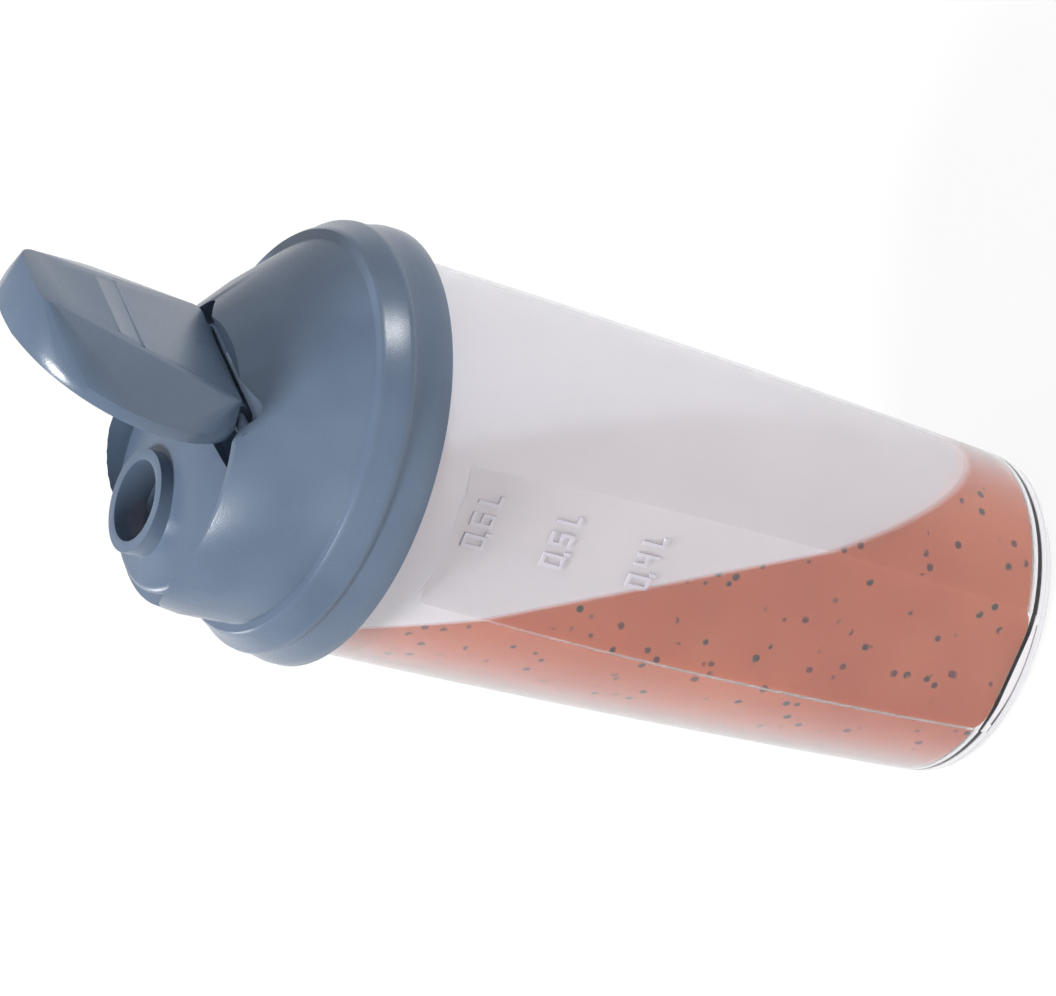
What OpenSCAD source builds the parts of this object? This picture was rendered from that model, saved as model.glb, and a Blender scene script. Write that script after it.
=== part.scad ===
// Salad dressing shaker: a see-through beaker with two flat grip panels,
// filled with dressing, under a domed press-on lid with a pouring ring and
// a hinged cap, which stands open. +Z is up, the origin is the centre of
// the base, and the pouring ring lies toward -X.

/* [Beaker] */
// Height from the base to the lower edge of the lid
body_h = 158.7; // [140:0.1:180]
// Outside diameter just under the lid
body_top_d = 85.2; // [82:0.2:88]
// Outside diameter halfway up
body_mid_d = 79.8; // [78:0.2:82]
// Outside diameter at the base
body_base_d = 70.6; // [68:0.2:76]
// Thickness of the beaker wall
wall = 1.3; // [1.0:0.1:2.0]
// Thickness of the beaker bottom
base_t = 3.4; // [3.0:0.1:5]
// Radius of the rounded foot edge
foot_r = 2.4; // [1:0.1:2.6]
// Depth of the recess under the base
foot_recess = 1.0; // [0.5:0.1:1.6]
// Width of the standing ring under the base
foot_ring_w = 4; // [2:0.5:8]
// Height of the neck that goes up inside the lid
neck_h = 7.5; // [6:0.5:8]
// How far the rim bead stands out from the neck
bead_out = 0.9; // [0.5:0.1:1.1]

/* [Grip panels] */
// Direction that the front panel faces, in degrees from +X
panel_az = -78.2; // [-120:0.1:-60]
// Depth of the panel below the round wall at the top
panel_top_depth = 2.7; // [2:0.1:4]
// Depth of the panel below the round wall at the base
panel_base_depth = 2.9; // [2:0.1:4]
// Height of the panel's lower end
panel_z0 = 2.7; // [2:0.1:3]
// Distance from the lid to the panel's upper end
panel_below_lid = 10.9; // [8:0.1:20]

/* [Volume marks] */
// Heights of the three marks above the base
mark_z = [100.5, 121.9, 141.4];
// Digits of tenths of a litre at each mark
mark_digit = [4, 5, 6];
// Height of a character
mark_h = 5.5; // [4:0.1:7]
// Distance from one character to the next
mark_pitch = 4.9; // [4.6:0.1:6]
// Width of a stroke
mark_stroke = 0.8; // [0.5:0.1:1.2]
// How far the marks stand out
mark_t = 0.35; // [0.2:0.05:0.6]

/* [Dressing] */
// Height of the surface on the axis
dress_z = 100.7; // [80:0.1:120]
// Slant of the surface
dress_tilt = 66; // [40:0.5:75]
// Direction that the surface leans to
dress_az = 8.3; // [-20:0.1:40]

/* [Lid] */
// How far the lid's rim stands out beyond the beaker
lid_over = 4.4; // [4:0.1:6]
// Thickness of the lid's walls
lid_wall = 1.6; // [1.2:0.1:2.0]
// Height of the collar's upper edge above the rim
collar_h = 9.6; // [9:0.1:12]
// Height of the shoulder where the dome starts
shoulder_h = 14; // [13:0.1:17]
// How far the dome steps in from the rim
dome_in = 5.7; // [5:0.1:7]
// Height of the dome's top above the rim
dome_h = 34.0; // [33.6:0.1:34.2]
// Shrinking of the dome's radius for each mm of height
dome_taper = 0.56; // [0.4:0.01:0.7]
// Forward lean of the dome's front for each mm of height
dome_lean = 0.05; // [0:0.01:0.1]
// Radial gap between beaker and lid
lid_gap = 0.35; // [0.3:0.05:0.6]
// Thickness of the seal ring
seal_t = 2; // [1:0.1:3]
// Direction of the pull tab, in degrees from +X
tab_az = 35.6; // [0:1:90]
// How far the pull tab stands out
tab_out = 4; // [2:0.5:6]

/* [Pouring deck] */
// Distance of the round deck's centre in front of the axis
deck_g = 14.2; // [12:0.1:16]
// Radius of the deck
deck_r = 26.9; // [24:0.1:28]
// Height of the deck's seat above the rim
deck_seat = 28.3; // [26:0.1:30]
// Height of the deck's side
deck_edge = 2.2; // [1:0.1:4]
// Height of the deck's crown above its seat
deck_crown = 4.6; // [3:0.1:6]
// Where the deck's straight rear edge lies in front of the axis
deck_back = 1; // [0:0.5:3]
// Distance of the pouring ring in front of the axis
ring_g = 24.7; // [22:0.1:27]
// Outer radius of the pouring ring
ring_r = 11.15; // [10:0.05:12]
// Radius of the pouring hole
bore_r = 8.7; // [7:0.1:9.5]
// Height of the ring's top above the deck's seat
ring_h = 7.3; // [6.5:0.1:8]
// Depth of the hinge pocket below the deck's seat
pocket_deep = 6.8; // [5:0.1:8]
// Half of the width of the hinge pocket
pocket_w = 21; // [20.6:0.1:22]
// How far the pocket's rear wall lies behind the deck's round recess
pocket_behind = 0.5; // [0.3:0.1:2]

/* [Cap] */
// Opening angle of the cap as it stands
cap_open = 94; // [0:1:94]
// Gap between the deck and the cap's wall
cap_gap = 0.6; // [0.4:0.1:1]
// Thickness of the cap's wall
cap_wall = 1.2; // [1:0.1:1.4]
// Height of the cap's rim above the deck's seat
cap_rise = 1.0; // [0.6:0.1:2]
// Height of the straight stretch above the cap's rim
cap_straight = 2.7; // [2.6:0.1:3.5]
// Height of the cap's rear edge above its rim
cap_back_h = 7.6; // [7:0.1:9]
// Height of the cap's front edge above its rim
cap_front_h = 11; // [9:0.1:12]
// Half of the width of the cap's top at the rear
cap_back_w = 18; // [14:0.5:19]
// Half of the width of the cap's top at the front
cap_front_w = 8; // [5:0.5:12]
// Gap behind the hinge pin before the cap's rear edge
cap_behind = 2.4; // [2:0.1:4]
// Places of the grip ribs in front of the axis
rib_g = [17.5, 23, 30, 35];
// Half lengths of the grip ribs
rib_w = [12, 10, 7, 3];
// Radius of a grip rib
rib_r = 0.7; // [0.4:0.1:1]
// Depth of the plug below the ring's top
plug_deep = 2; // [1:0.1:3]
// Radial gap between plug and pouring hole
plug_gap = 0.35; // [0.3:0.05:0.6]

/* [Hinge] */
// Distance of the hinge pin behind the axis
hinge_back = 8.7; // [8:0.1:10]
// Height of the hinge pin above the deck's seat
hinge_up = 3.7; // [3.4:0.1:4.5]
// Radius of the hinge pin
pin_r = 1.5; // [1:0.1:1.8]
// How far each end of the hinge pin goes into the pocket's side
pin_in = 1.4; // [1:0.1:1.5]
// Radius of the cap's hinge barrel
barrel_r = 3; // [2.6:0.1:3.2]
// Half of the length of the hinge barrel
barrel_half = 15; // [12:0.5:18]
// Running gap between pin and barrel
pin_gap = 0.06; // [0.02:0.01:0.1]

/* [Hidden] */
$fn = 96;
lid_r = body_top_d / 2 + lid_over;
dome_r = lid_r - dome_in;
plug_r = body_top_d / 2 - wall - lid_gap;
cavity_r = plug_r - lid_wall;
skirt_r = body_top_d / 2 + bead_out + 2 * lid_gap;
seal_z = body_h + neck_h;
seat_z = seal_z + seal_t;
deck_z = body_h + deck_seat;
hinge_x = hinge_back;
hinge_z = deck_z + hinge_up;
pocket_z = deck_z - pocket_deep;
recess_r = deck_r + cap_wall + 2 * cap_gap;
cap_r = recess_r - cap_gap;
cap_z = deck_z + cap_rise;
cap_back = hinge_back - cap_behind;
cap_top = cap_front_h - cap_back_h;
plug_out = bore_r - plug_gap;
ring_top = deck_z + ring_h;
pin_half = pocket_w + pin_in;
far = 60;

// Radius of the beaker at a height: one curve through three diameters.
function body_r(z) =
    let (t = z / body_h)
    (body_base_d * (1 - t) * (1 - 2 * t) + 4 * body_mid_d * t * (1 - t)
        + body_top_d * t * (2 * t - 1)) / 2;

// Distance of a panel from the axis at a height.
function panel_p(z) =
    body_base_d / 2 - panel_base_depth
    + z / body_h * ((body_top_d - body_base_d) / 2
        - panel_top_depth + panel_base_depth);

// Height of the cap's top face above its rim at a place g.
function cap_face(g) =
    cap_back_h + cap_top * (g + cap_back) / (deck_g + cap_r + cap_back);

// Centre of the dome's round section at a height above the shoulder.
function dome_c(t) = t * (dome_taper + dome_lean);

// What the panels cut away, moved in by inset.
module panel_cut(inset) {
    z1 = body_h - panel_below_lid;
    z0 = inset > 0 ? -1 : panel_z0;
    for (turn = [0, 180])
        rotate([0, 0, panel_az + turn])
            rotate([90, 0, 0])
                linear_extrude(height = 60, center = true)
                    polygon([
                        [panel_p(z0) - inset, z0],
                        [panel_p(z1) - inset, z1],
                        [panel_p(z1) - inset + 16, z1 + 8],
                        [panel_p(z0) + 20, z0]
                    ]);
}

// The tapering round form with its two flats, moved in by inset.
module beaker_form(inset, z0, round_r) {
    steps = 8;
    difference() {
        rotate_extrude()
            polygon(concat(
                [[0, z0]],
                [for (a = [-90 : 15 : -15])
                    [body_r(z0) - inset - round_r + round_r * cos(a),
                        z0 + round_r + round_r * sin(a)]],
                [for (k = [0 : steps])
                    let (z = z0 + round_r
                        + (body_h - z0 - round_r) * k / steps)
                    [body_r(z) - inset, z]],
                [[0, body_h]]
            ));
        panel_cut(inset);
    }
}

module beaker() {
    top_r = body_top_d / 2;
    color([0.9, 0.9, 0.95, 0.45])
    difference() {
        union() {
            beaker_form(0, 0, foot_r);
            rotate_extrude()
                polygon([
                    [0, body_h],
                    [top_r, body_h],
                    [top_r, seal_z - 3.4],
                    [top_r + bead_out, seal_z - 2.4],
                    [top_r + bead_out, seal_z - 0.8],
                    [top_r + bead_out - 0.6, seal_z],
                    [0, seal_z]
                ]);
        }
        beaker_form(wall, base_t, foot_r);
        translate([0, 0, body_h - 0.01])
            cylinder(r = top_r - wall, h = neck_h + 1);
        translate([0, 0, -1])
            cylinder(r = body_base_d / 2 - foot_r - foot_ring_w,
                h = 1 + foot_recess);
    }
}

// One straight stroke of a character.
module stroke(x, y, w, h) {
    translate([x, y])
        square([w, h]);
}

// A character drawn with the seven strokes of a plain numeral.
module numeral(n) {
    s = mark_stroke;
    w = mark_h * 0.55;
    half = (mark_h - s) / 2;
    on = n == 0 ? [1, 1, 1, 0, 1, 1, 1]
        : n == 4 ? [0, 1, 1, 1, 0, 1, 0]
        : n == 5 ? [1, 1, 0, 1, 0, 1, 1]
        : [1, 1, 0, 1, 1, 1, 1];
    if (on[0] == 1) stroke(0, mark_h - s, w, s);
    if (on[1] == 1) stroke(0, half, s, half + s);
    if (on[2] == 1) stroke(w - s, half, s, half + s);
    if (on[3] == 1) stroke(0, half, w, s);
    if (on[4] == 1) stroke(0, 0, s, half + s);
    if (on[5] == 1) stroke(w - s, 0, s, half + s);
    if (on[6] == 1) stroke(0, 0, w, s);
}

// Nought, comma, digit and L, side by side.
module mark_line(n) {
    w = mark_h * 0.55;
    translate([-w / 2, 0]) numeral(0);
    translate([mark_pitch / 2 - mark_stroke, -mark_stroke])
        square([mark_stroke, 1.6]);
    translate([mark_pitch - w / 2, 0]) numeral(n);
    translate([2 * mark_pitch - w / 2, 0]) {
        stroke(0, 0, mark_stroke, mark_h);
        stroke(0, 0, mark_h * 0.45, mark_stroke);
    }
}

module volume_marks() {
    lean = atan((panel_p(body_h) - panel_p(0)) / body_h);
    color([0.85, 0.85, 0.92])
    for (k = [0 : len(mark_z) - 1])
        rotate([0, 0, panel_az + 90])
            translate([0, -panel_p(mark_z[k]), mark_z[k]])
                rotate([90 + lean, 0, 0])
                    linear_extrude(height = mark_t)
                        translate([0, -mark_h / 2])
                            mark_line(mark_digit[k]);
}

// The dressing fills the beaker up to a slanted surface.
module dressing() {
    color([0.85, 0.36, 0.22])
    intersection() {
        beaker_form(wall + 0.05, base_t, foot_r);
        translate([0, 0, dress_z])
            rotate([0, dress_tilt, dress_az])
                translate([-150, -150, -300])
                    cube([300, 300, 300]);
    }
}

// The dome leans forward: round sections that shrink toward the front.
module dome_solid(inset, top_h) {
    rise = top_h - shoulder_h;
    hull()
        for (t = [0, rise / 2, rise])
            translate([-dome_c(t), 0, body_h + shoulder_h + t])
                cylinder(r = dome_r - inset - t * dome_taper
                    + 0.9 * sin(180 * t / rise), h = 0.01, $fn = 72);
}

// Space behind the deck in which the hinge end of the cap turns.
module pocket(grow) {
    front = -deck_back - grow;
    back = recess_r - deck_g + pocket_behind + grow;
    w = pocket_w + grow;
    corner = 3;
    translate([0, 0, pocket_z - grow]) {
        translate([front, -w, 0])
            cube([back - front - corner, 2 * w, far]);
        translate([back - corner - 1, -w + corner, 0])
            cube([corner + 1, 2 * (w - corner), far]);
        for (side = [-1, 1])
            translate([back - corner, side * (w - corner), 0])
                cylinder(r = corner, h = far);
    }
}

// Round thumb tab on the collar, for pulling the lid off.
module pull_tab() {
    thick = 1.6;
    rotate([0, 0, tab_az])
        translate([lid_r - 5, 0, body_h + collar_h - thick])
            difference() {
                cylinder(r = 5 + tab_out, h = thick);
                translate([-30 - lid_r + 5 + skirt_r + 0.8, -30, -1])
                    cube([30, 60, thick + 2]);
            }
}

module lid_shell() {
    color([0.5, 0.58, 0.69])
    difference() {
        union() {
            translate([0, 0, body_h])
                rotate_extrude()
                    polygon([
                        [lid_r, 0],
                        [lid_r, 2.2],
                        [lid_r - 0.8, collar_h - 4],
                        [lid_r - 1.3, collar_h - 2],
                        [lid_r - 0.7, collar_h - 1],
                        [lid_r - 0.9, collar_h],
                        [lid_r - 2.6, (collar_h + shoulder_h) / 2],
                        [lid_r - 3.2, shoulder_h - 0.6],
                        [lid_r - 4, shoulder_h + 0.5],
                        [cavity_r, shoulder_h + 0.5],
                        [cavity_r, 1],
                        [plug_r, 1],
                        [plug_r, neck_h + seal_t],
                        [skirt_r, neck_h + seal_t],
                        [skirt_r, 1.2],
                        [skirt_r + 0.8, 0]
                    ]);
            dome_solid(0, dome_h);
            pull_tab();
        }
        difference() {
            union() {
                translate([0, 0, body_h - 1])
                    cylinder(r = cavity_r, h = shoulder_h + 1.1);
                dome_solid(lid_wall, deck_seat - lid_wall);
            }
            pocket(lid_wall);
        }
        translate([-deck_g, 0, deck_z])
            cylinder(r = recess_r, h = far);
        pocket(0);
        translate([-ring_g, 0, deck_z - 10])
            cylinder(r = bore_r, h = far);
        translate([hinge_x, 0, hinge_z])
            rotate([90, 0, 0])
                cylinder(r = pin_r, h = 2 * pin_half, center = true);
    }
}

module lid_seal() {
    color([0.9, 0.9, 0.9])
    translate([0, 0, seal_z])
        difference() {
            cylinder(r = skirt_r - 0.2, h = seal_t);
            translate([0, 0, -1])
                cylinder(r = plug_r + 0.15, h = seal_t + 2);
        }
}

// Low crowned deck with the pouring ring.
module pour_deck() {
    soft = 1.6;
    color([0.47, 0.55, 0.66])
    translate([0, 0, deck_z])
    difference() {
        union() {
            intersection() {
                translate([-deck_g, 0, 0])
                    rotate_extrude()
                        polygon(concat(
                            [[0, 0], [deck_r, 0]],
                            [for (a = [0 : 30 : 90])
                                [deck_r - soft + soft * cos(a),
                                    deck_edge - soft + soft * sin(a)]],
                            [for (k = [1 : 5])
                                let (u = 1 - k / 5)
                                [(deck_r - soft) * u, deck_edge
                                    + (deck_crown - deck_edge) * (1 - u * u)]]
                        ));
                translate([-deck_back - far * 2, -far, -1])
                    cube([far * 2, 2 * far, far]);
            }
            translate([-ring_g, 0, 0])
                cylinder(r = ring_r, h = ring_h);
        }
        translate([-ring_g, 0, -1])
            cylinder(r = bore_r, h = ring_h + 2);
    }
}

module hinge_pin() {
    color([0.4, 0.47, 0.57])
    translate([hinge_x, 0, hinge_z])
        rotate([90, 0, 0])
            cylinder(r = pin_r, h = 2 * pin_half, center = true);
}

// Turns what is drawn closed about the hinge pin into the open place.
module opened() {
    translate([hinge_x, 0, hinge_z])
        rotate([0, cap_open, 0])
            translate([-hinge_x, 0, -hinge_z])
                children();
}

// Outline of the cap's rim: a circle cut off straight at the hinge.
module cap_outline(inset) {
    intersection() {
        translate([-deck_g, 0])
            circle(r = cap_r - inset, $fn = 64);
        translate([cap_back - inset - 2 * far, -far])
            square([2 * far, 2 * far]);
    }
}

// The cap's body between its rim and its slanting top face.
module cap_solid(inset, low) {
    front = deck_g + cap_r - 4.5;
    hull() {
        translate([0, 0, low])
            linear_extrude(height = cap_z + cap_straight - low)
                cap_outline(inset);
        for (side = [-1, 1]) {
            translate([cap_back - 2, side * (cap_back_w - 2), cap_z])
                cylinder(r = 2 - inset / 2, h = cap_back_h - inset, $fn = 24);
            translate([-front, side * (cap_front_w - 2), cap_z])
                cylinder(r = 4 - inset, h = cap_front_h - inset, $fn = 24);
        }
    }
}

module flip_cap() {
    color([0.5, 0.58, 0.69])
    opened()
    difference() {
        union() {
            cap_solid(0, cap_z);
            for (k = [0 : len(rib_g) - 1])
                translate([-rib_g[k], 0, cap_z + cap_face(rib_g[k]) - 0.2])
                    rotate([90, 0, 0])
                        cylinder(r = rib_r, h = 2 * rib_w[k], center = true,
                            $fn = 24);
            translate([hinge_x, 0, hinge_z])
                rotate([90, 0, 0])
                    cylinder(r = barrel_r, h = 2 * barrel_half,
                        center = true);
            translate([cap_back - 1, -barrel_half, hinge_z - 1.5])
                cube([hinge_x - cap_back + 1, 2 * barrel_half, 3]);
        }
        difference() {
            cap_solid(cap_wall, cap_z - 1);
            translate([hinge_x, 0, hinge_z])
                rotate([90, 0, 0])
                    cylinder(r = barrel_r, h = 2 * barrel_half,
                        center = true);
        }
        translate([hinge_x, 0, hinge_z])
            rotate([90, 0, 0])
                cylinder(r = pin_r + pin_gap, h = 2 * far, center = true);
    }
}

// Tube under the cap's roof that closes the pouring hole.
module cap_plug() {
    top = cap_z + cap_face(ring_g) - cap_wall + 0.3;
    color([0.85, 0.87, 0.9])
    opened()
    translate([-ring_g, 0, ring_top - plug_deep])
        difference() {
            cylinder(r = plug_out, h = top - ring_top + plug_deep);
            translate([0, 0, -1])
                cylinder(r = plug_out - cap_wall,
                    h = top - ring_top + plug_deep - 0.2);
        }
}

beaker();
volume_marks();
dressing();
lid_shell();
lid_seal();
pour_deck();
hinge_pin();
flip_cap();
cap_plug();
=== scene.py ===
# %% [markdown]
# # A salad dressing shaker
# The real bottle is a see-through beaker, a slate blue lid that is
# pressed on, and a cap that stands open on its hinge. It could be drawn
# freely from the photograph, but here the exact model is loaded first,
# as a fixed frame. Its bodies say what moves and its nodes give every
# place and size, so each piece made here sits where the real one does
# and rides on a body. All lengths are in metres.

# %% Load the frame
import math

import bmesh
import bpy
from mathutils import Matrix, Vector


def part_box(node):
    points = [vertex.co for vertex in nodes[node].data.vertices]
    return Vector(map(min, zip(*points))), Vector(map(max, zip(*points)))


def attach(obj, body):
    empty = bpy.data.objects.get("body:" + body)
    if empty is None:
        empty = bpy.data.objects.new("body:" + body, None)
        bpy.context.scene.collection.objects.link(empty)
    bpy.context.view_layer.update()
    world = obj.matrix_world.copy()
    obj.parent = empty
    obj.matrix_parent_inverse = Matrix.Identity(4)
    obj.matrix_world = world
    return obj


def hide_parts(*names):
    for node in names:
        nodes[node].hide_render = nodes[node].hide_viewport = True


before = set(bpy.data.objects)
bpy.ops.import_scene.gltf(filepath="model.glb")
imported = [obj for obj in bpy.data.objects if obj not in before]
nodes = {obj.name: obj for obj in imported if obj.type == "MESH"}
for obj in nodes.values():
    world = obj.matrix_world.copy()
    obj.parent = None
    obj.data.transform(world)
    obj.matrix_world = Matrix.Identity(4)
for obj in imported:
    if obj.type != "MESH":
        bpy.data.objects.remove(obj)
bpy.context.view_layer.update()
print("nodes:", sorted(nodes))

# %% [markdown]
# ## The view
# The photograph was taken with a long lens from above the front right,
# and turned, so that the lid points to the left. The camera's axes were
# solved from the rim's ellipse and the grip panel's edges. An upright
# camera would show the same bottle, but not the same picture.

# %% Camera
PHOTO_W = 1056        # pixels across the photograph
FOCAL_PX = 8000       # focal length in the same pixels
SENSOR = 36.0         # millimetres
NEAREST = 0.05
EYE = Vector((0.71507, -1.29601, 0.92236))
RIGHT = Vector((0.45128, -0.28112, -0.84695))
DOWN = Vector((-0.78541, -0.57569, -0.22740))


def make_camera():
    data = bpy.data.cameras.new("photo_camera")
    data.sensor_width = SENSOR
    data.lens = FOCAL_PX * SENSOR / PHOTO_W
    data.clip_start = NEAREST
    cam = bpy.data.objects.new("photo_camera", data)
    bpy.context.collection.objects.link(cam)
    right = RIGHT.normalized()
    up = (-DOWN - (-DOWN).dot(right) * right).normalized()
    back = right.cross(up)
    turn = Matrix((right, up, back)).transposed().to_4x4()
    cam.matrix_world = Matrix.Translation(EYE) @ turn
    bpy.context.scene.camera = cam
    return cam


camera = make_camera()
print("camera lens in mm:", round(camera.data.lens, 1))

# %% [markdown]
# ## Helpers for node materials
# Moulded plastic is never one flat colour: a slow drift in tone and a
# fine grain break it up. Each finish could be wired by hand in the node
# editor, but a small helper that adds nodes by name lets each one below
# read as a short list of what it is made of. Every pattern reads Object
# coordinates, so that it stays on the piece when the piece moves.


# %% Material helpers
def set_sockets(node, sockets):
    """Set a node's inputs by name, with _ for each space."""
    for key, value in sockets.items():
        node.inputs[key.replace("_", " ")].default_value = value


class Finish:
    """A node material with its shader, built up step by step."""

    def __init__(self, name, **sockets):
        self.mat = bpy.data.materials.new(name)
        self.mat.use_nodes = True
        self.tree = self.mat.node_tree
        self.shader = self.tree.nodes["Principled BSDF"]
        set_sockets(self.shader, sockets)
        self.coords = self.tree.nodes.new("ShaderNodeTexCoord")

    def link(self, a, b):
        self.tree.links.new(a, b)

    def node(self, kind, **sockets):
        n = self.tree.nodes.new("ShaderNode" + kind)
        set_sockets(n, sockets)
        return n

    def noise(self, scale, detail=3.0, rough=0.5):
        n = self.node("TexNoise", Scale=scale, Detail=detail,
                      Roughness=rough)
        self.link(self.coords.outputs["Object"], n.inputs["Vector"])
        return n.outputs["Fac"]

    def cells(self, scale):
        """Distance to the middle of the nearest of many cells."""
        n = self.node("TexVoronoi", Scale=scale)
        self.link(self.coords.outputs["Object"], n.inputs["Vector"])
        return n.outputs["Distance"]

    def ramp(self, source, low, high):
        """Blend from one (place, colour) to another."""
        n = self.node("ValToRGB")
        for element, (place, colour) in zip(n.color_ramp.elements,
                                            (low, high)):
            element.position = place
            element.color = (*colour, 1.0)
        self.link(source, n.inputs["Fac"])
        return n.outputs["Color"]

    def remap(self, source, **sockets):
        n = self.node("MapRange", **sockets)
        self.link(source, n.inputs["Value"])
        return n.outputs["Result"]

    def multiply(self, a, b):
        n = self.node("Math")
        n.operation = "MULTIPLY"
        self.link(a, n.inputs[0])
        self.link(b, n.inputs[1])
        return n.outputs[0]

    def mix(self, factor, a, b):
        n = self.node("Mix")
        n.data_type = "RGBA"
        # Sockets 0, 6 and 7 are the factor and the two colours.
        for source, socket in ((factor, 0), (a, 6), (b, 7)):
            self.link(source, n.inputs[socket])
        return n.outputs[2]

    def colour(self, source):
        self.link(source, self.shader.inputs["Base Color"])

    def roughness(self, source, low, high):
        self.link(self.remap(source, To_Min=low, To_Max=high),
                  self.shader.inputs["Roughness"])

    def grain(self, source, strength, distance):
        n = self.node("Bump", Strength=strength, Distance=distance)
        self.link(source, n.inputs["Height"])
        self.link(n.outputs["Normal"], self.shader.inputs["Normal"])


BLACK = (0, 0, 0)
WHITE = (1, 1, 1)
print("material helpers:", [n for n in vars(Finish) if n[0] != "_"])

# %% [markdown]
# ## The lid's plastic
# The lid, the deck, the cap and the hinge pin are slate blue
# polypropylene with a slightly frosted skin, as a mould with a
# spark-eroded wall leaves it. A plain colour would look like paint, so
# two close tones drift into each other, and one fine noise gives both
# the uneven gloss and the grain.

# %% Lid plastic
SLATE_DARK = (0.070, 0.100, 0.150)
SLATE_LIGHT = (0.095, 0.132, 0.190)


def slate_plastic():
    f = Finish("frosted_slate_plastic")
    drift = f.noise(scale=40.0, detail=2.0)
    f.colour(f.ramp(drift, (0.3, SLATE_DARK), (0.7, SLATE_LIGHT)))
    fine = f.noise(scale=2600.0, detail=2.0, rough=0.7)
    f.roughness(fine, 0.18, 0.32)
    f.grain(fine, strength=0.35, distance=0.00006)
    return f.mat


SLATE = slate_plastic()
print("made", SLATE.name)

# %% [markdown]
# ## Where the dressing lies
# The bottle was tipped when it was photographed, so the dressing's
# surface is slanted. Below it the wall is wet and looks clearer, and
# above it the wall looks milky. Two pieces of wall could show this too,
# but the real wall is one, so a mask inside the material tells on which
# side of the surface a point is.

# %% Dressing line
# The way that the surface faces, and its distance from the origin
# along that way.
SURFACE_TILT = math.radians(66)
SURFACE_AZ = math.radians(8.3)
SURFACE_Z = 0.1007
SURFACE_UP = (math.sin(SURFACE_TILT) * math.cos(SURFACE_AZ),
              math.sin(SURFACE_TILT) * math.sin(SURFACE_AZ),
              math.cos(SURFACE_TILT))
SURFACE_D = SURFACE_Z * SURFACE_UP[2]


def wetted(f, wide):
    """1 where dressing lies against the wall, 0 where air does."""
    side = f.node("VectorMath")
    side.operation = "DOT_PRODUCT"
    side.inputs[1].default_value = SURFACE_UP
    f.link(f.coords.outputs["Object"], side.inputs[0])
    return f.remap(side.outputs["Value"], From_Min=SURFACE_D + wide,
                   From_Max=SURFACE_D - wide)


print("surface's distance from the origin:", round(SURFACE_D, 5))

# %% [markdown]
# ## The beaker's plastic
# The beaker and its raised marks are polypropylene without pigment:
# milky, and clear enough to show the dressing. Full glass would be too
# clean and a thin veil of white paint too flat, so most of the light
# passes through and the rest scatters. The dry part of the wall lets
# less pass than the wet part.

# %% Clear plastic
DRY_SHARE = 0.60      # of what passes through the wet part
LIGHTER = 1.04
WALL_TONE = (0.93, 0.92, 0.96)
MARK_TONE = (0.86, 0.83, 0.90)


def milky_plastic(name, through, tone):
    f = Finish(name, IOR=1.45)
    passing = f.remap(wetted(f, wide=0.0006), To_Min=DRY_SHARE * through,
                      To_Max=through)
    f.link(passing, f.shader.inputs["Transmission Weight"])
    lighter = tuple(min(1.0, c * LIGHTER) for c in tone)
    drift = f.noise(scale=30.0, detail=2.0)
    f.colour(f.ramp(drift, (0.3, tone), (0.7, lighter)))
    fine = f.noise(scale=900.0, detail=2.0, rough=0.6)
    f.roughness(fine, 0.10, 0.22)
    f.grain(fine, strength=0.08, distance=0.00004)
    return f.mat


CLEAR = milky_plastic("milky_clear_plastic", 0.98, WALL_TONE)
MARKS = milky_plastic("raised_mark_plastic", 0.85, MARK_TONE)
print("made", CLEAR.name, "and", MARKS.name)

# %% [markdown]
# ## The seal's silicone
# The ring under the lid and the plug in the cap are a soft, pale
# blue-grey silicone. It is duller than the plastic around it, so its
# roughness is one plain value, and a weak grain is enough.

# %% Seal silicone
SEAL_DARK = (0.55, 0.60, 0.68)
SEAL_LIGHT = (0.62, 0.67, 0.74)


def seal_silicone():
    f = Finish("pale_seal_silicone", Roughness=0.5)
    drift = f.noise(scale=60.0, detail=2.0)
    f.colour(f.ramp(drift, (0.3, SEAL_DARK), (0.7, SEAL_LIGHT)))
    f.grain(f.noise(scale=1500.0), strength=0.2, distance=0.00005)
    return f.mat


SEAL = seal_silicone()
print("made", SEAL.name)

# %% [markdown]
# ## The dressing
# The dressing is thick and orange red, with chopped herbs and spice in
# it, and light goes a little way into it. The flecks could be small
# meshes, but they lie in the dressing, not on it, so they are drawn in
# the material: round spots around cell middles, kept only where a
# second noise is high, so that they come in loose groups. The dressing's
# slanted surface is painted paler, as it looks through the dry wall: this
# is painted light, the milky glow that the dry wall scatters over it.

# %% Dressing
RED_DARK = (0.84, 0.175, 0.060)
RED_LIGHT = (0.95, 0.270, 0.095)
HERB = (0.05, 0.035, 0.012)
SPICE = (0.22, 0.02, 0.010)
# Painted light: these paler tones on the dressing's slanted surface stand in
# for the milky glow that the dry wall scatters over it.
PAINTED_VEIL_DARK = (0.90, 0.68, 0.70)
PAINTED_VEIL_LIGHT = (0.94, 0.78, 0.80)


def dressing_finish():
    f = Finish("herb_dressing", Roughness=0.25, Subsurface_Weight=0.35,
               Subsurface_Radius=(1.0, 0.4, 0.25),
               Subsurface_Scale=0.004)
    cloud = f.noise(scale=28.0, detail=4.0, rough=0.6)
    base = f.ramp(cloud, (0.25, RED_DARK), (0.75, RED_LIGHT))
    spots = f.ramp(f.cells(scale=250.0), (0.18, WHITE), (0.26, BLACK))
    groups = f.ramp(f.noise(scale=160.0, detail=1.0),
                    (0.47, BLACK), (0.53, WHITE))
    fleck = f.ramp(f.noise(scale=90.0, detail=1.0),
                   (0.45, HERB), (0.55, SPICE))
    body = f.mix(f.multiply(spots, groups), base, fleck)
    # Above the dressing's surface its colour is painted paler, as painted
    # light for the dry wall's milky glow.
    surface = f.ramp(cloud, (0.25, PAINTED_VEIL_DARK), (0.75, PAINTED_VEIL_LIGHT))
    f.colour(f.mix(wetted(f, wide=0.0003), surface, body))
    return f.mat


DRESSING = dressing_finish()
print("finishes:", len(bpy.data.materials))

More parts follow.
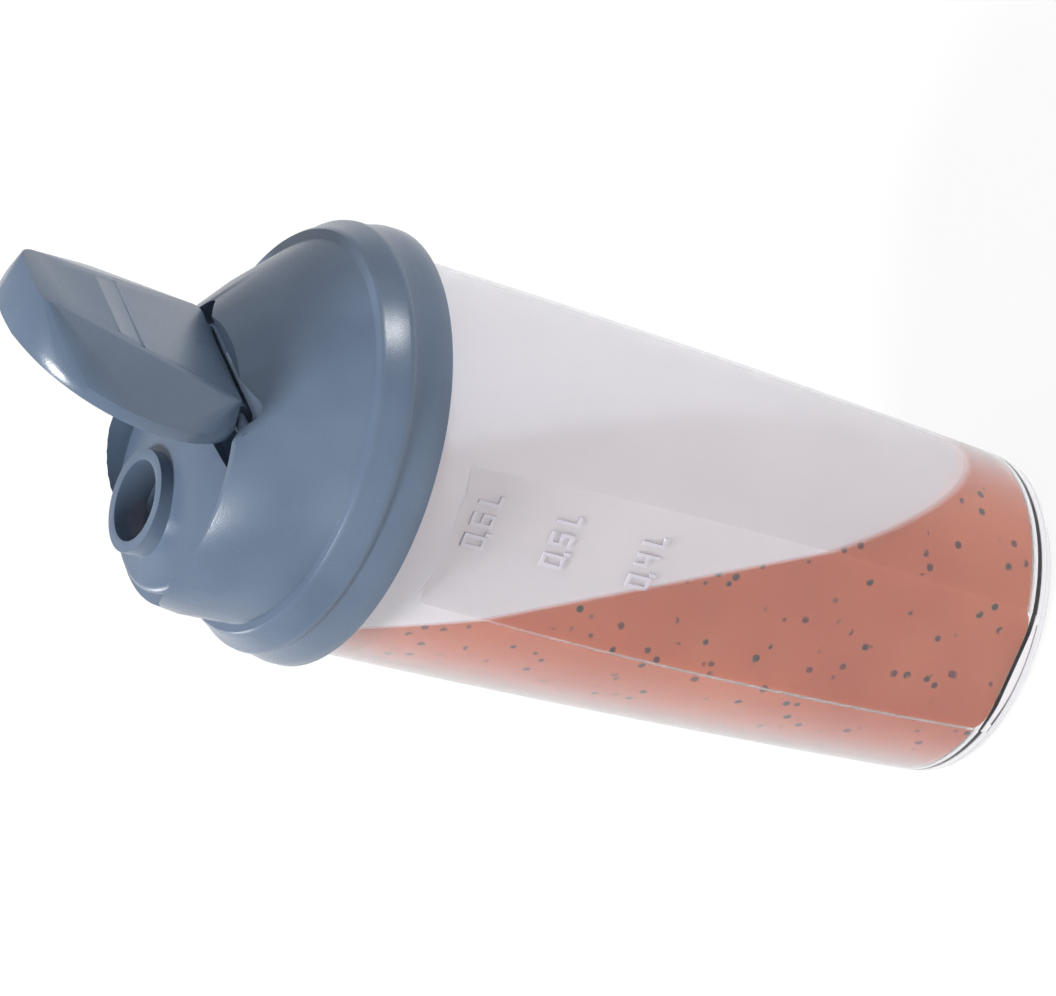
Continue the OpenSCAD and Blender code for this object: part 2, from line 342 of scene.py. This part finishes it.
# %% [markdown]
# ## Rounded copies of the moulded pieces
# The lid, the deck and the cap are mouldings, and the frame's meshes of
# them are loose triangles with knife edges. No moulding has those:
# every edge that a tool cuts has a small radius, and that radius is what
# catches the light. The pieces could be modelled again, but their shapes
# are right already. So a copy of each is merged, its sharp edges get a
# narrow bevel, and the round stretches are shaded smooth.


# %% Shade a mesh smooth by angle
def smooth_by_angle(mesh, degrees):
    limit = math.radians(degrees)
    bm = bmesh.new()
    bm.from_mesh(mesh)
    for face in bm.faces:
        face.smooth = True
    for e in bm.edges:
        if len(e.link_faces) == 2:
            e.smooth = e.calc_face_angle(0.0) < limit
    bm.to_mesh(mesh)
    bm.free()


print("edges sharper than the limit stay crisp")


# %% Merge a copy of a node's mesh
MERGE_DIST = 2e-6
FLAT_ANGLE = 0.4      # degrees: faces closer than this become one


def merged_mesh(node, name):
    mesh = nodes[node].data.copy()
    mesh.name = name
    bm = bmesh.new()
    bm.from_mesh(mesh)
    bmesh.ops.remove_doubles(bm, verts=bm.verts, dist=MERGE_DIST)
    bmesh.ops.dissolve_limit(bm, angle_limit=math.radians(FLAT_ANGLE),
                             verts=bm.verts, edges=bm.edges)
    for face in bm.faces:
        face.smooth = True
    bm.to_mesh(mesh)
    bm.free()
    stored = mesh.attributes.get("custom_normal")
    if stored is not None:
        mesh.attributes.remove(stored)
    return mesh


print("triangles in the lid's node:", len(nodes["lid_shell"].data.polygons))

# %% Rounded copy of a node
BEVEL_ANGLE = 38      # degrees: sharper edges than this get a radius
SMOOTH_ANGLE = 32


def rounded_copy(node, name, body, edge):
    mesh = merged_mesh(node, name)
    mesh.materials.clear()
    mesh.materials.append(SLATE)
    piece = bpy.data.objects.new(name, mesh)
    bpy.context.collection.objects.link(piece)
    bevel = piece.modifiers.new("edge_radius", "BEVEL")
    bevel.width = edge
    bevel.segments = 2
    bevel.limit_method = "ANGLE"
    bevel.angle_limit = math.radians(BEVEL_ANGLE)
    bevel.use_clamp_overlap = True
    bevel.harden_normals = False
    graph = bpy.context.evaluated_depsgraph_get()
    graph.update()
    done = bpy.data.meshes.new_from_object(piece.evaluated_get(graph))
    piece.modifiers.clear()
    piece.data = done
    done.name = name
    smooth_by_angle(done, SMOOTH_ANGLE)
    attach(piece, body)
    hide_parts(node)
    print(name, "faces:", len(done.polygons))


rounded_copy("lid_shell", "domed_lid", "lid", edge=0.0003)
rounded_copy("pour_deck", "pouring_deck", "lid", edge=0.0004)
rounded_copy("flip_cap", "hinged_cap", "cap", edge=0.0004)

# %% [markdown]
# ## The beaker
# The beaker tapers along a slow curve and has two flat grip panels. A
# turned shape with the panels cut off by a boolean would have ragged
# edges at the flats. Here its wall is drawn as rings instead. In each
# ring a fixed number of points lies on the flat and the rest on the
# round part, so a column of points follows the panel's edge exactly and
# the crease stays crisp.

# %% Beaker sizes
# The two heights are read from the frame, and the rest repeat the
# exact model's sizes.
BODY_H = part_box("lid_shell")[0][2]
NECK_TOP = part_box("beaker")[1][2]
R_TOP = 0.0426
R_MID = 0.0399
R_BASE = 0.0353
WALL = 0.0013
BASE_T = 0.0034
FOOT_R = 0.0024
BEAD = 0.0009
PANEL_AZ = math.radians(-78.2)
PANEL_Z0 = 0.0027
PANEL_Z1 = BODY_H - 0.0109
PANEL_STEP = 0.0012
PANEL_CUT_BASE = 0.0029
PANEL_CUT_TOP = 0.0027


def round_r(z):
    """Radius of the round part, on a curve through three radii."""
    t = z / BODY_H
    return (R_BASE * (1 - t) * (1 - 2 * t) + 4 * R_MID * t * (1 - t)
            + R_TOP * t * (2 * t - 1))


def panel_p(z):
    """Distance of the flat panels from the axis."""
    base = R_BASE - PANEL_CUT_BASE
    top = R_TOP - PANEL_CUT_TOP
    return base + (top - base) * z / BODY_H


print("beaker height without neck:", round(BODY_H, 4),
      "to the rim:", round(NECK_TOP, 4))

# %% One ring of the wall
FLAT_POINTS = 14
ROUND_POINTS = 44
LEAST_FLAT = 0.97     # a flat is never narrower than this cosine gives


def ring(bm, z, r, flat_at):
    """flat_at is the flats' distance from the axis, or None."""
    edge = math.acos(min(LEAST_FLAT, (flat_at or panel_p(z)) / r))
    verts = []
    for side in (0, 1):
        middle = PANEL_AZ + side * math.pi
        for k in range(FLAT_POINTS):
            a = -edge + 2 * edge * k / FLAT_POINTS
            reach = r
            if flat_at is not None:
                reach = min(r, flat_at / math.cos(a))
            verts.append(bm.verts.new((reach * math.cos(middle + a),
                                       reach * math.sin(middle + a), z)))
        for k in range(ROUND_POINTS):
            a = edge + (math.pi - 2 * edge) * k / ROUND_POINTS
            verts.append(bm.verts.new((r * math.cos(middle + a),
                                       r * math.sin(middle + a), z)))
    return verts


print("points in a ring:", 2 * (FLAT_POINTS + ROUND_POINTS))

# %% Heights of the rings
WALL_STEPS = 40
FOOT_STEPS = 6
FOOT_TURN = 15        # degrees from one foot ring to the next
HAIR = 0.0002         # between two rings that make a crisp step


def wall_rows(inset):
    """(height, radius, flat distance) of each ring, from the base up.

    inset is 0 for the outside and the wall's thickness for the inside.
    """
    z_low = BASE_T if inset else 0.0
    rows = []
    for k in range(FOOT_STEPS):
        a = math.radians(-90 + FOOT_TURN * k)
        r = round_r(z_low) - inset - FOOT_R + FOOT_R * math.cos(a)
        rows.append([z_low + FOOT_R + FOOT_R * math.sin(a), r])
    for k in range(WALL_STEPS + 1):
        z = z_low + FOOT_R + (BODY_H - z_low - FOOT_R) * k / WALL_STEPS
        rows.append([z, round_r(z) - inset])
    ends = [PANEL_Z0, PANEL_Z0 + HAIR, PANEL_Z1,
            PANEL_Z1 + PANEL_STEP * 0.5, PANEL_Z1 + PANEL_STEP]
    for z in ends:
        if z > z_low + FOOT_R or not inset:
            rows.append([z, round_r(z) - inset])
    rows.sort()
    return [(z, r, flat_at_height(z, r, inset)) for z, r in rows]


def flat_at_height(z, r, inset):
    """The flats' distance at a height, or None where it is all round."""
    flat = None
    if (inset or z >= PANEL_Z0 + HAIR / 2) and z <= PANEL_Z1:
        flat = panel_p(z) - inset
    elif PANEL_Z1 < z < PANEL_Z1 + PANEL_STEP:
        u = (z - PANEL_Z1) / PANEL_STEP
        flat = (panel_p(z) - inset) * (1 - u) + r * u
    return None if flat is None or flat >= r else flat


print("rings outside:", len(wall_rows(0.0)), "inside:",
      len(wall_rows(WALL)))

# %% Neck and foot
# Heights are below the neck's top.
BEAD_FROM = 0.0034
BEAD_FULL = 0.0024
BEAD_TO = 0.0008
BEAD_ROUND = 0.0006
RECESS_IN = 0.004     # from the foot's round edge to the recess
RECESS_DEEP = 0.001


def neck_rows():
    """(height, radius) up the neck, over its bead and down inside."""
    return [(BODY_H + HAIR, R_TOP), (NECK_TOP - BEAD_FROM, R_TOP),
            (NECK_TOP - BEAD_FULL, R_TOP + BEAD),
            (NECK_TOP - BEAD_TO, R_TOP + BEAD),
            (NECK_TOP, R_TOP + BEAD - BEAD_ROUND),
            (NECK_TOP, R_TOP - WALL), (BODY_H, R_TOP - WALL)]


def recess_loops(bm, first):
    """The shallow round recess under the foot, as its roof and rim."""
    r = R_BASE - FOOT_R - RECESS_IN
    rim = [bm.verts.new((v.co.x * r / v.co.xy.length,
                         v.co.y * r / v.co.xy.length, 0.0))
           for v in first]
    roof = [bm.verts.new((v.co.x, v.co.y, RECESS_DEEP)) for v in rim]
    return [roof, rim]


print("widest point of the bead:", round(R_TOP + BEAD, 4))


# %% Beaker
CREASE_ANGLE = 14     # degrees: the panels' edges are sharper than this


def make_beaker():
    bm = bmesh.new()
    outer = [ring(bm, z, r, flat) for z, r, flat in wall_rows(0.0)]
    outer += [ring(bm, z, r, None) for z, r in neck_rows()]
    inner = [ring(bm, z, r, flat) for z, r, flat in wall_rows(WALL)]
    # The neck's last ring takes the place of the inner wall's top one.
    rings = outer + inner[:-1][::-1]
    loops = recess_loops(bm, rings[0]) + rings
    for a, b in zip(loops, loops[1:]):
        n = len(a)
        for k in range(n):
            m = (k + 1) % n
            bm.faces.new((a[k], a[m], b[m], b[k]))
    bm.faces.new(loops[0][::-1])
    bm.faces.new(loops[-1])
    bmesh.ops.recalc_face_normals(bm, faces=bm.faces)
    mesh = bpy.data.meshes.new("grip_beaker")
    bm.to_mesh(mesh)
    bm.free()
    mesh.materials.append(CLEAR)
    smooth_by_angle(mesh, CREASE_ANGLE)
    piece = bpy.data.objects.new("grip_beaker", mesh)
    bpy.context.collection.objects.link(piece)
    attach(piece, "beaker")
    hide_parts("beaker")
    print("beaker faces:", len(mesh.polygons))


make_beaker()

# %% [markdown]
# ## Finishes on the pieces that stay as they are
# The raised marks, the seal, the pin, the plug and the dressing already
# have the right shapes in the frame. Copies of them would add nothing,
# so the frame's own pieces only get their materials.

# %% Finishes on the frame's own nodes
for node, material in (("volume_marks", MARKS), ("dressing", DRESSING),
                       ("lid_seal", SEAL), ("hinge_pin", SLATE),
                       ("cap_plug", SEAL)):
    data = nodes[node].data
    data.materials.clear()
    data.materials.append(material)
    print(node, "gets", material.name)

# %% [markdown]
# ## The floor
# A pale floor stands in for the studio sheet, which is white in the
# photograph. More light would whiten it too, but would bleach the
# bottle. So its material glows white for the rays that look at it,
# straight, through the wall or in a reflection, and mixes in a little of
# its own pale card, which still takes a faint shadow.

# %% Floor
FLOOR_HALF = 4.0
CARD_TONE = (0.8, 0.8, 0.81, 1)
GLOW_SHARE = 0.9


def floor_white():
    mat = bpy.data.materials.new("studio_white")
    mat.use_nodes = True
    tree = mat.node_tree
    tree.nodes.clear()
    path = tree.nodes.new("ShaderNodeLightPath")
    looked_at = path.outputs["Is Camera Ray"]
    for ray in ("Is Transmission Ray", "Is Glossy Ray"):
        either = tree.nodes.new("ShaderNodeMath")
        either.operation = "MAXIMUM"
        tree.links.new(looked_at, either.inputs[0])
        tree.links.new(path.outputs[ray], either.inputs[1])
        looked_at = either.outputs[0]
    share = tree.nodes.new("ShaderNodeMath")
    share.operation = "MULTIPLY"
    share.inputs[1].default_value = GLOW_SHARE
    tree.links.new(looked_at, share.inputs[0])
    card = tree.nodes.new("ShaderNodeBsdfDiffuse")
    card.inputs["Color"].default_value = CARD_TONE
    glow = tree.nodes.new("ShaderNodeEmission")
    glow.inputs["Color"].default_value = (*WHITE, 1)
    blend = tree.nodes.new("ShaderNodeMixShader")
    for source, socket in ((share, 0), (card, 1), (glow, 2)):
        tree.links.new(source.outputs[0], blend.inputs[socket])
    out = tree.nodes.new("ShaderNodeOutputMaterial")
    tree.links.new(blend.outputs[0], out.inputs["Surface"])
    return mat


def make_floor():
    mesh = bpy.data.meshes.new("studio_floor")
    h = FLOOR_HALF
    corners = [(-h, -h, 0), (h, -h, 0), (h, h, 0), (-h, h, 0)]
    mesh.from_pydata(corners, [], [(0, 1, 2, 3)])
    mesh.materials.append(floor_white())
    floor = bpy.data.objects.new("studio_floor", mesh)
    bpy.context.collection.objects.link(floor)


make_floor()
print("floor is", 2 * FLOOR_HALF, "m wide")

# %% [markdown]
# ## Lamps and world
# The photograph has plain studio light: soft, from above, and bright on
# the lid's collar. One even world would give no highlights at all. So a
# key lamp high above the front left gives them, a side lamp and a rim
# lamp pick out the edges, and the world fills the rest.

# %% Lamps and world
# Name, place, width and watts.
LAMPS = (("key_lamp", (-0.5, -0.5, 1.4), 0.35, 27),
         ("side_lamp", (1.3, 0.2, 0.7), 0.35, 7),
         ("rim_lamp", (-1.2, 0.5, 0.5), 0.5, 4))
AIM = Vector((0, 0, 0.12))
SKY_TONE = (0.97, 0.98, 1.0, 1)
SKY_STRENGTH = 0.55


def area_lamp(name, place, width, watts):
    data = bpy.data.lights.new(name, "AREA")
    data.shape = "DISK"
    data.size = width
    data.energy = watts
    lamp = bpy.data.objects.new(name, data)
    bpy.context.collection.objects.link(lamp)
    aim = AIM - Vector(place)
    lamp.rotation_euler = aim.to_track_quat("-Z", "Y").to_euler()
    lamp.location = place


for lamp_values in LAMPS:
    area_lamp(*lamp_values)
world = bpy.data.worlds.new("studio_world")
world.use_nodes = True
sky = world.node_tree.nodes["Background"]
sky.inputs["Color"].default_value = SKY_TONE
sky.inputs["Strength"].default_value = SKY_STRENGTH
bpy.context.scene.world = world
bpy.context.scene.view_settings.view_transform = "Standard"
print("lamps:", [name for name, *_ in LAMPS])

# %% [markdown]
